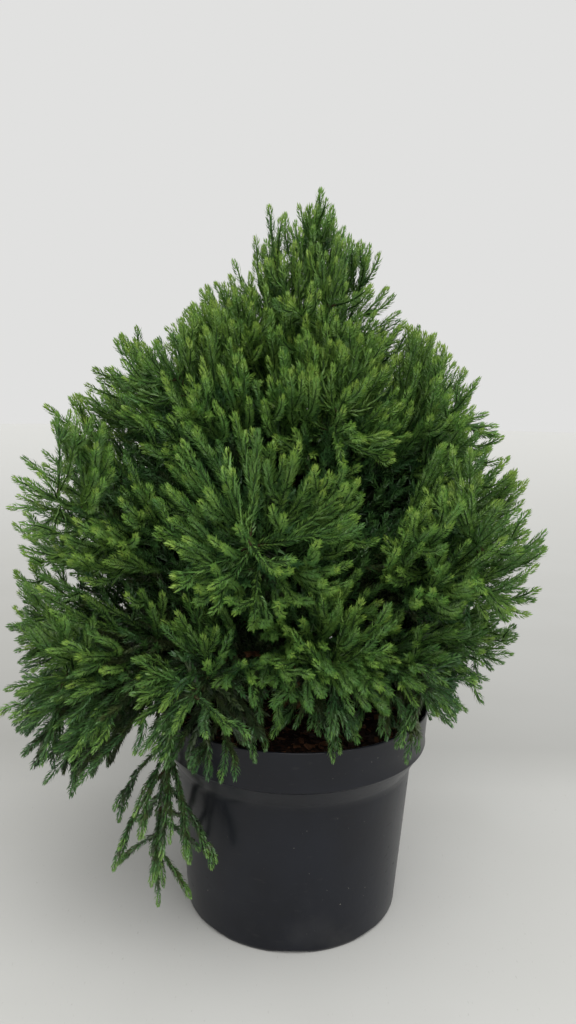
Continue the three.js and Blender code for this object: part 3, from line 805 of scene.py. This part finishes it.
# %% Finishes as expressions
class Wire:
    """One output of a node, to calculate with."""

    def __init__(self, finish, socket):
        self.finish, self.socket = finish, socket

    def maths(self, operation, *values):
        return self.finish.add("ShaderNodeMath", dict(operation=operation), dict(enumerate(values)))

    def __add__(self, other):
        return self.maths("ADD", self, other)

    def __sub__(self, other):
        return self.maths("SUBTRACT", self, other)

    def __rsub__(self, other):
        return self.maths("SUBTRACT", other, self)

    def __rtruediv__(self, other):
        return self.maths("DIVIDE", other, self)

    def __mul__(self, other):
        return self.maths("MULTIPLY", self, other)

    def at_least(self, least):
        return self.maths("MAXIMUM", self, least)

    def between(self, low, high):
        """0 below low, 1 above high, with a smooth step between."""
        inputs = {"Value": self, "From Min": low, "From Max": high}
        return self.finish.add("ShaderNodeMapRange", dict(interpolation_type="SMOOTHSTEP"), inputs)

    __radd__, __rmul__ = __add__, __mul__


print("operators on a wire:", [name for name in vars(Wire) if name.startswith("__r")])


# %% Finishes as expressions: a material
class Finish:
    """A material whose shader is set by name, with any other node from one call."""

    def __init__(self, name, roughness, specular):
        self.material = bpy.data.materials.new(name)
        self.material.use_nodes = True
        self.tree = self.material.node_tree
        self.shader = self.tree.nodes["Principled BSDF"]
        self.set(self.shader, {"Roughness": roughness, "Specular IOR Level": specular})

    def set(self, node, inputs):
        for key, value in inputs.items():
            if isinstance(value, Wire):
                self.tree.links.new(value.socket, node.inputs[key])
            else:
                node.inputs[key].default_value = value

    def add(self, kind, settings, inputs, output=0):
        node = self.tree.nodes.new(kind)
        for key, value in settings.items():
            if key == "stops":
                for _ in value[2:]:
                    node.color_ramp.elements.new(1)
                for stop, (position, colour) in zip(node.color_ramp.elements, value):
                    stop.position, stop.color = position, colour
            else:
                setattr(node, key, value)
        self.set(node, inputs)
        return Wire(self, node.outputs[output])

    def place(self, *axes):
        """Where a point is on the plant, in metres: the whole vector, or one number of it."""
        vector = self.add("ShaderNodeNewGeometry", {}, {}, "Position")
        return self.add("ShaderNodeSeparateXYZ", {}, {0: vector}, axes[0]) if axes else vector

    def noise(self, scale, detail=3, stretch=(1, 1, 1)):
        where = self.add("ShaderNodeVectorMath", dict(operation="MULTIPLY"), {0: self.place(), 1: stretch})
        return self.add("ShaderNodeTexNoise", {}, {"Vector": where, "Scale": scale, "Detail": detail})

    def blend(self, a, b, share):
        return self.add("ShaderNodeMix", dict(data_type="RGBA"), {"Factor": share, 6: a, 7: b}, 2)

    def bump(self, height, strength, distance):
        inputs = {"Height": height, "Strength": strength, "Distance": distance}
        self.set(self.shader, {"Normal": self.add("ShaderNodeBump", {}, inputs)})


def rgb(red, green, blue):
    """A colour as a screen shows it, from 0 to 255, turned to the linear light that shaders use."""
    def linear(v):
        v /= 255
        return v / 12.92 if v <= 0.04045 else ((v + 0.055) / 1.055) ** 2.4
    return (linear(red), linear(green), linear(blue), 1)


print("a mid grey of 128 is", round(rgb(128, 128, 128)[0], 3), "in linear light")

# %% [markdown]
# ## The needles' finishes
#
# Needles have a thin wax that gives a dull sheen. Within each class the hue drifts from shoot to
# shoot, which is a noise about as coarse as a shoot is thick, and from one side of the crown to
# another, which is a much coarser one. A needle deep in the crown is hardly seen, so the two inner
# classes make do with one triangle each, and the triangles go where the eye does.

# %% The needles' finishes
NEEDLE_COLOURS = {
    "bud": (rgb(144, 172, 76), rgb(110, 152, 66)),
    "young": (rgb(118, 152, 66), rgb(92, 136, 60)),
    "leaf": (rgb(105, 139, 60), rgb(77, 119, 57)),
    "shade": (rgb(77, 112, 54), rgb(53, 91, 51)),
    "old": (rgb(70, 82, 45), rgb(43, 61, 39)),
    "inner": (rgb(74, 110, 52), rgb(50, 88, 49)),
}
SHOOT_DRIFT, CROWN_DRIFT = dict(scale=70, share=0.65), dict(scale=9, share=0.35)


def needle_finish(name, light, dark):
    finish = Finish(f"needles_{name}", roughness=0.42, specular=0.5)
    shoot_drift, crown_drift = (
        finish.noise(drift["scale"], detail=1).between(0.35, 0.65) * drift["share"]
        for drift in (SHOOT_DRIFT, CROWN_DRIFT)
    )
    finish.set(finish.shader, {"Base Color": finish.blend(dark, light, shoot_drift + crown_drift)})
    return finish.material


needle_materials = {name: needle_finish(name, *colours) for name, colours in NEEDLE_COLOURS.items()}
print("finishes for needles:", len(needle_materials))

# %% The needles as meshes
MOST_TRIANGLES, MOST_NEEDLES = 190000, 95000
NEEDLE_FACES, PLAIN_FACES = [[0, 1, 2], [1, 3, 2]], [[0, 1, 2]]
PLAIN_CLASSES = ("old", "inner")


def plain_needles(corners):
    """The same needles as one slim triangle each."""
    broad = corners[:, 1] - corners[:, 2]
    return np.stack([corners[:, 0] + broad, corners[:, 0] - broad, corners[:, 3]], axis=1)


for number, name in enumerate(CLASSES):
    chosen, plain = np.flatnonzero(kind == number), name in PLAIN_CLASSES
    for part, rows in enumerate(np.array_split(chosen, math.ceil(len(chosen) / MOST_NEEDLES))):
        corners = plain_needles(all_corners[rows]) if plain else all_corners[rows]
        faces = repeated(PLAIN_FACES if plain else NEEDLE_FACES, len(rows), corners.shape[1])
        piece = add_mesh(f"needles_{name}_{part + 1}", corners.reshape(-1, 3), faces, smooth=False)
        nodes = [f"foliage_{one.name}" for one in limbs] if name == "leaf" and part == 0 else []
        finish_piece(piece, needle_materials[name], "foliage", *nodes)
        print(piece.name, len(piece.data.polygons), "triangles")

# %% [markdown]
# ## Twig wood
#
# Under their needles the shoots are green, and the older twigs inside are red-brown. Both are slim
# tubes with three sides, which is enough under needles and costs few triangles. Each twig is brown
# only at its foot. A mass's stem is thicker, so it has eight sides, and it is brown as far as its
# middle and green from there on, where it is seen between the needles.

# %% Twig wood
SHOOT_RADII, TWIG_RADII, GREEN_RADII, STEM_TIP_RADIUS = (1.05, 0.6), (1.6, 1.25), (1.3, 0.7), 1.0
TWIG_BROWN, TWIG_GREEN, STEM_BROWN, STEM_GREEN = (0, 0.14), (0.12, 1), (0, 0.42), (0.4, 1)


def wood_finish(name, light, dark, scale):
    finish = Finish(name, roughness=0.75, specular=0.25)
    finish.set(finish.shader, {"Base Color": finish.blend(dark, light, finish.noise(scale, 3))})
    return finish.material


def add_wood(name, curves, radii, material, slot="foliage", **fineness):
    return finish_piece(add_mesh(name, *tubes(curves, *radii, **fineness)), material, slot)


shoot_wood = wood_finish("shoot_skin", rgb(58, 84, 38), rgb(34, 58, 30), 120)
twig_wood = wood_finish("twig_bark", rgb(74, 62, 38), rgb(42, 38, 24), 160)

side_curves = np.concatenate([shoots, forks, strands, shade_shoots])
triangles = len(side_curves) * len(tubes(side_curves[:1], 1, 1, rings=3)[1])
for part, some in enumerate(np.array_split(side_curves, math.ceil(triangles / MOST_TRIANGLES))):
    add_wood(f"shoots_{part + 1}", some, SHOOT_RADII, shoot_wood, rings=3)
woody = np.array([stretch_of(curve, *TWIG_BROWN) for curve in twig_curves])
green = np.array([stretch_of(curve, *TWIG_GREEN) for curve in twig_curves])
add_wood("twigs", woody, TWIG_RADII, twig_wood)
add_wood("twig_ends", green, GREEN_RADII, shoot_wood)
for name, ends, material, slot in [("stems", STEM_BROWN, twig_wood, "bark"),
                                   ("stem_ends", STEM_GREEN, shoot_wood, "foliage")]:
    part = np.array([stretch_of(one.stem, *ends) for one in limbs])
    radii = [mix(stem_radii, STEM_TIP_RADIUS, share) for share in ends]
    add_wood(name, part, radii, material, slot, rings=6, sides=8)
print("twigs and shoots:", len(twig_curves) + len(side_curves))

# %% [markdown]
# ## Bark
#
# The trunk and the boughs have thin bark that peels in long strips. Real relief goes into the mesh:
# each ring of a limb is pushed in and out by ridges that run along it and wander a little. Finer
# fibres are left to a bump in the finish, where they cost nothing.

# %% Bark
TRUNK_SKIN = dict(sides=36, rings=120, ridge=0.07, seed=1)
BOUGH_SKIN, FIRST_BOUGH_SEED, BARK_DEPTH = dict(sides=14, rings=26, ridge=0.06), 10, 0.2
RIDGE_WAVES, KNOTS = (3, 5, 7, 11, 16), 0.4


def bark_tube(curve, radius_at, sides, rings, ridge, seed):
    """A limb with lengthwise ridges, as corners and triangles, closed at both ends."""
    noise = np.random.default_rng(seed)
    us, angles = np.linspace(0, 1, rings), np.arange(sides) * 2 * math.pi / sides
    centre, along = point_at(curve, us), unit(slope_at(curve, us))
    side = np.broadcast_to(side_of(curve), along.shape)
    across = np.cross(side, along)
    relief = np.zeros((rings, sides))
    for waves in RIDGE_WAVES:
        wander = noise.uniform(1, 5) * np.sin(us * noise.uniform(4, 14) + noise.uniform(0, 6))
        relief += np.sin(waves * angles[None] + wander[:, None] + noise.uniform(0, 6)) / 2.2
    knots = noise.normal(0, KNOTS, (rings, sides))
    radius = radius_at(us)[:, None] * (1 + ridge * (relief / 3 + knots / 3))
    ring = side[:, None] * np.cos(angles)[None, :, None] + across[:, None] * np.sin(angles)[None, :, None]
    return closed_rings(centre[:, None] + ring * radius[..., None], centre[0], centre[-1])


def joined(parts):
    corners, faces, offset = [], [], 0
    for some_corners, some_faces in parts:
        corners.append(some_corners)
        faces.append(some_faces + offset)
        offset += len(some_corners)
    return np.concatenate(corners), np.concatenate(faces)


def bark_finish():
    finish = Finish("bark", roughness=0.85, specular=0.2)
    fibres = finish.noise(60, 6, (3, 3, 0.5))
    patches = finish.noise(22, 3)
    colour = finish.blend(rgb(70, 46, 32), rgb(132, 94, 64), fibres.between(0.35, 0.7))
    colour = finish.blend(colour, rgb(92, 84, 62), patches.between(0.5, 0.75) * 0.6)
    finish.set(finish.shader, {"Base Color": colour})
    finish.bump(fibres, 0.8, 0.0012)
    return finish.material


trunk_up = stretch_of(trunk_curve, TRUNK["sunk"] / length_of(trunk_curve), 1)
bark = [bark_tube(trunk_up, lambda u: trunk_radius(u) - BARK_DEPTH, **TRUNK_SKIN)]
for k, one in enumerate(limbs):
    if one.bare > 0:
        bough, radius_at = stretch_of(one.curve, 0, one.bare), lambda u, one=one: one.radius_at(u * one.bare)
        bark.append(bark_tube(bough, radius_at, seed=FIRST_BOUGH_SEED + k, **BOUGH_SKIN))
wood_nodes = ["trunk"] + [f"bough_{one.name}" for one in limbs if one.bare > 0]
bark_piece = finish_piece(add_mesh("trunk_and_boughs", *joined(bark)), bark_finish(), "bark", *wood_nodes)
print("bark:", len(bark_piece.data.polygons), "triangles")

# %% [markdown]
# ## The pot
#
# A moulded pot is a turned shape, so its outline is drawn once, from the middle of the floor up the
# outside, over the rim and down the inside, and swept round the axis. The rim is a thin rounded lip,
# and the collar ends in a small step where a stacked pot would rest. The drain arches in the foot are
# pressed into the same mesh by lifting the corners that lie in them.

# %% The pot
POT_SIDES, STEP = 192, 0.9
ARCHES = dict(count=8, width=38, height=3.5, inwards=24)


def pot_outline():
    """(radius, height) round the pot's wall, closed on the axis at both ends."""
    outside = [(0, 0), (60, 0), (80, 0), (90, 0), (98, 0), (104, 0), (pot_radius(0) - POT["bevel"], 0)]
    outside += [(pot_radius(1) - 1.1, 0.7), (pot_radius(POT["bevel"]), POT["bevel"])]
    outside += [(pot_radius(z), z) for z in (4.5, 8, 30, 70, 110, 140, 152)]
    outside += [(pot_radius(158) - 0.2, 158), (pot_radius(162) + 0.1, 162), (pot_radius(170), 170)]
    outside += [(pot_radius(177), 177), (pot_radius(180) - 0.4, 179.6), (POT["collar"] + STEP - 0.2, 180.4)]
    outside += [(POT["collar"] + STEP, 181.2), (POT["collar"] + STEP - 0.1, 182), (pot_radius(184), 184.5)]
    outside += [(pot_radius(z), z) for z in (195, 207, 214)]
    rim = POT["rim"]
    lip = [(rim - 0.1, 217.2), (rim + 0.2, 218.6), (rim - 0.1, 219.6)]
    lip += [(rim - 0.9, 220), (rim - 1.8, 219.8), (rim - 2.4, 219)]
    inside = [(pot_radius(z) - POT["wall"], z) for z in (214, 200, 182, 158, 100, 20, 6)]
    return np.array(outside + lip + inside + [(60, 6), (0, 6)])


def lathe(outline, sides):
    angles = np.arange(sides) * 2 * math.pi / sides
    radii, heights = outline[1:-1, :1], outline[1:-1, 1:].repeat(sides, 1)
    rings = np.stack([radii * np.cos(angles), radii * np.sin(angles), heights], -1)
    return closed_rings(rings, [0, 0, outline[0, 1]], [0, 0, outline[-1, 1]])


def press_drain_arches(corners, count, width, height, inwards):
    """Lifts the foot's corners into shallow arches, evenly round the pot, one of them at the front."""
    out, angle = np.hypot(corners[:, 0], corners[:, 1]), np.arctan2(corners[:, 1], corners[:, 0])
    step = 2 * math.pi / count
    off_middle = np.abs((angle + math.pi / 2 + step / 2) % step - step / 2) * out
    arch = height * np.sqrt(np.clip(1 - (off_middle / (width / 2)) ** 2, 0, 1))
    in_notch = (out > POT["base"] - inwards) & (corners[:, 2] < arch)
    corners[in_notch, 2] = arch[in_notch]
    return corners


def pot_finish():
    finish = Finish("pot_plastic", roughness=0.4, specular=0.34)
    mottle = finish.noise(14, 5)
    scuffs = finish.noise(90, 4, (1, 1, 3)).between(0.62, 0.78)
    specks = finish.noise(330, 2).between(0.76, 0.8)
    dust = finish.noise(26, 4).between(0.45, 0.8) * (1 - finish.place("Z").between(0.0, 0.09))
    colour = finish.blend(rgb(12, 14, 22), rgb(18, 21, 30), mottle.between(0.3, 0.7))
    colour = finish.blend(colour, rgb(110, 108, 102), dust * 0.08 + scuffs * 0.06)
    colour = finish.blend(colour, rgb(176, 172, 160), specks * 0.7)
    finish.set(finish.shader, {"Base Color": colour, "Roughness": 0.22 + 0.2 * mottle + 0.25 * scuffs})
    finish.bump(finish.noise(160, 4), 0.12, 0.0006)
    return finish.material


corners, faces = lathe(pot_outline(), POT_SIDES)
pot_wall = add_mesh("pot_wall", press_drain_arches(corners, **ARCHES), faces)
pot_piece = finish_piece(pot_wall, pot_finish(), "pot", "pot")
print("pot:", len(pot_piece.data.polygons), "triangles")

# %% [markdown]
# ## Compost
#
# Potting compost is crumbly peat with bark and coir in it. The surface is a disc of many rings whose
# corners are heaped by a few octaves of waves, low at the wall and a little higher round the trunk.
# Below it the same skin goes on down the pot's inside, so that the compost is one closed body.

# %% Compost
SURFACE_RINGS, SURFACE_SIDES, EDGE_GAP = 64, 200, 0.3
MOUND = dict(out=(0, COMPOST["foot_radius"], 58, 136), z=(208.6, 208.2, 206, 203))
CRUMBS = dict(seed=5, ways=5, waves=((60, 2.2), (26, 1.3), (11, 1.1), (5, 0.9), (3, 0.7)))
CRUMBLED = dict(out=(12, 30, 128, 135), share=(0.2, 1, 1, 0.3))
BELOW_SURFACE, COMPOST_FLOOR, COMPOST_TOP = (8, 80, 158, 180), 8, 208.4


def crumbs(x, y):
    """A heap's height over x and y in millimetres: waves of many sizes that cross at random angles."""
    noise, total = np.random.default_rng(CRUMBS["seed"]), np.zeros_like(x)
    for size, height in CRUMBS["waves"]:
        for _ in range(CRUMBS["ways"]):
            way = noise.uniform(0, 2 * math.pi)
            along = (x * math.cos(way) + y * math.sin(way)) * 2 * math.pi / size
            total += height / CRUMBS["ways"] * np.sin(along + noise.uniform(0, 6))
    return total


def compost_height(x, y):
    out = np.hypot(x, y)
    crumbled = np.interp(out, CRUMBLED["out"], CRUMBLED["share"])
    return np.interp(out, MOUND["out"], MOUND["z"]) + crumbs(x, y) * crumbled


def compost_mesh():
    edge = pot_radius(COMPOST["edge"]) - POT["wall"] - EDGE_GAP
    radii = np.linspace(0, 1, SURFACE_RINGS)[1:] ** 0.8 * edge
    angles = np.arange(SURFACE_SIDES) * 2 * math.pi / SURFACE_SIDES
    x, y = radii[:, None] * np.cos(angles), radii[:, None] * np.sin(angles)
    top = np.stack([x, y, compost_height(x, y)], -1)[::-1]
    below = []
    for z in BELOW_SURFACE:
        r = pot_radius(z) - POT["wall"] - EDGE_GAP
        below.append(np.stack([r * np.cos(angles), r * np.sin(angles), np.full(SURFACE_SIDES, z)], -1))
    return closed_rings(np.concatenate([below, top]), [0, 0, COMPOST_FLOOR], [0, 0, COMPOST_TOP])


def compost_finish():
    finish = Finish("compost", roughness=0.95, specular=0.15)
    fibre = finish.noise(240, 5, (1, 1, 0.4))
    colour = finish.blend(rgb(24, 16, 12), rgb(66, 42, 28), fibre.between(0.4, 0.75))
    finish.set(finish.shader, {"Base Color": colour})
    finish.bump(finish.noise(420, 4), 0.9, 0.002)
    return finish.material


heap = add_mesh("compost_heap", *compost_mesh())
finish_piece(heap, compost_finish(), "compost", "compost")
print("compost:", len(heap.data.polygons), "triangles")

# %% [markdown]
# ## Loose chips
#
# Bits of bark and lumps of peat lie on the surface. Each is a small closed block whose eight corners
# are moved at random, tilted and turned, and all of them are made from arrays as the needles are.
# They could be scattered by a particle system, but then they would be no mesh of their own to export.

# %% Loose chips
CHIPS = dict(tries=1500, size=(0.8, 2.6), stretch=(0.5, 1.6), shape=(1.5, 1, 0.45), uneven=(0.6, 1.2),
             tilt=0.6, nearest=20, farthest=130, raised=0.4)
CHIP_COLOURS = {"bark_chips": (rgb(96, 62, 38), rgb(62, 40, 26)),
                "peat_chips": (rgb(52, 34, 24), rgb(30, 20, 15))}
CUBE = np.array([[x, y, z] for z in (-1, 1) for y in (-1, 1) for x in (-1, 1)], float)
CUBE_FACES = [[0, 2, 3], [0, 3, 1], [4, 5, 7], [4, 7, 6], [0, 1, 5], [0, 5, 4],
              [2, 6, 7], [2, 7, 3], [0, 4, 6], [0, 6, 2], [1, 3, 7], [1, 7, 5]]


def turn_blocks(blocks, angles, a, b):
    """Turns each block by its own angle, from axis a towards axis b."""
    first, second, angles = blocks[..., a].copy(), blocks[..., b].copy(), angles[:, None]
    blocks[..., a] = first * np.cos(angles) - second * np.sin(angles)
    blocks[..., b] = first * np.sin(angles) + second * np.cos(angles)


tried = random.uniform(-1, 1, (CHIPS["tries"], 2))
chip_at = tried[np.hypot(*tried.T) < 1] * CHIPS["farthest"]
chip_at = chip_at[np.hypot(*chip_at.T) > CHIPS["nearest"]]
count = len(chip_at)
size = random.uniform(*CHIPS["size"], (count, 1, 1))
size = size * random.uniform(*CHIPS["stretch"], (count, 1, 3)) * CHIPS["shape"]
blocks = CUBE[None] * size * random.uniform(*CHIPS["uneven"], (count, 8, 3))
yaw, tilt = random.uniform(0, 2 * math.pi, count), random.uniform(-CHIPS["tilt"], CHIPS["tilt"], count)
turn_blocks(blocks, tilt, 0, 2)
turn_blocks(blocks, yaw, 0, 1)
blocks[..., :2] += chip_at[:, None]
blocks[..., 2] += compost_height(*chip_at.T)[:, None] + CHIPS["raised"]
for part, (name, colours) in enumerate(CHIP_COLOURS.items()):
    some = blocks[part::2]
    piece = add_mesh(name, some.reshape(-1, 3), repeated(CUBE_FACES, len(some), len(CUBE)), smooth=False)
    finish_piece(piece, wood_finish(name, *colours, 300), "compost")
print("chips:", count)

# %% [markdown]
# ## The floor
#
# The plant stands on a pale sheet of studio paper. It is a wide flat disc, so that its edge is far away
# from any side. Its tone changes slowly with the place on it, as painted light and shade: close behind
# the pot it is a little greyer, as painted shade where a paper sweep would bend, far off it is paler
# again, and towards the left it is a little darker, as painted shade. Fine grain and a broad drift keep
# it from looking drawn.

# %% The floor
FLOOR_RADIUS, FLOOR_SIDES = 12, 64
# Painted light and shade on the floor, by nearness: greyer just behind the pot and paler far off.
FLOOR_PAINTED_SHADE_GREYS = [(0.05, 203), (0.135, 193), (0.265, 182), (0.4, 173), (0.46, 171), (0.52, 189),
               (0.68, 199), (0.9, 209)]


def floor_finish():
    finish = Finish("floor_paper", roughness=0.8, specular=0.2)
    along = finish.place("Y")
    nearness = 0.54 / (along.at_least(-0.2) + 0.82)
    stops = [(place, rgb(grey, grey, grey - 3)) for place, grey in FLOOR_PAINTED_SHADE_GREYS]
    colour = finish.add("ShaderNodeValToRGB", dict(stops=stops), {"Fac": nearness})
    colour = finish.blend(rgb(203, 203, 200), colour, along.between(-2.5, -0.3))
    # Darker towards the left as painted shade, on top of a faint random drift; the grain is the paper's own.
    drift = finish.noise(5, 2).between(0.35, 0.65) * 0.05 + (1 - finish.place("X").between(-0.6, 0.6)) * 0.2
    grain = finish.noise(420, 2, (1, 0.3, 1)).between(0.66, 0.8) * 0.3
    colour = finish.blend(colour, rgb(150, 148, 140), drift * nearness.between(0.1, 0.3) + grain)
    finish.set(finish.shader, {"Base Color": colour})
    return finish.material


around = np.arange(FLOOR_SIDES)
angles = around * 2 * math.pi / FLOOR_SIDES
edge = np.column_stack([np.cos(angles), np.sin(angles), np.zeros(FLOOR_SIDES)]) * FLOOR_RADIUS / MM
fan = np.column_stack([np.full(FLOOR_SIDES, FLOOR_SIDES), around, (around + 1) % FLOOR_SIDES])
floor = add_mesh("floor", np.concatenate([edge, [[0, 0, 0]]]), fan, smooth=False)
floor.data.materials.append(floor_finish())
print("floor:", 2 * FLOOR_RADIUS, "m across")

# %% [markdown]
# ## The light
#
# Soft light comes from above and in front. A small lamp would light the near floor more than the far
# one, so a sun is used instead: as broad as a large window it still gives soft shadows, but it lights
# everything alike. The surroundings fill in the rest, and the far floor is as pale as they are, so no
# horizon shows.

# %% The light
SUN = dict(tilt=(34, 12, 0), strength=1.9, softness=60)
SURROUNDINGS = rgb(225, 225, 224)

sun = bpy.data.lights.new("window", "SUN")
sun.energy, sun.angle = SUN["strength"], math.radians(SUN["softness"])
lamp = bpy.data.objects.new("window", sun)
lamp.rotation_euler = [math.radians(angle) for angle in SUN["tilt"]]
scene.collection.objects.link(lamp)

world = bpy.data.worlds.new("surroundings")
world.use_nodes = True
background = world.node_tree.nodes["Background"]
background.inputs["Color"].default_value = SURROUNDINGS
background.inputs["Strength"].default_value = 1
scene.world = world
scene.view_settings.view_transform = "Standard"

# %% [markdown]
# The visual model has to stay in the CAD model's box, apart from a little.
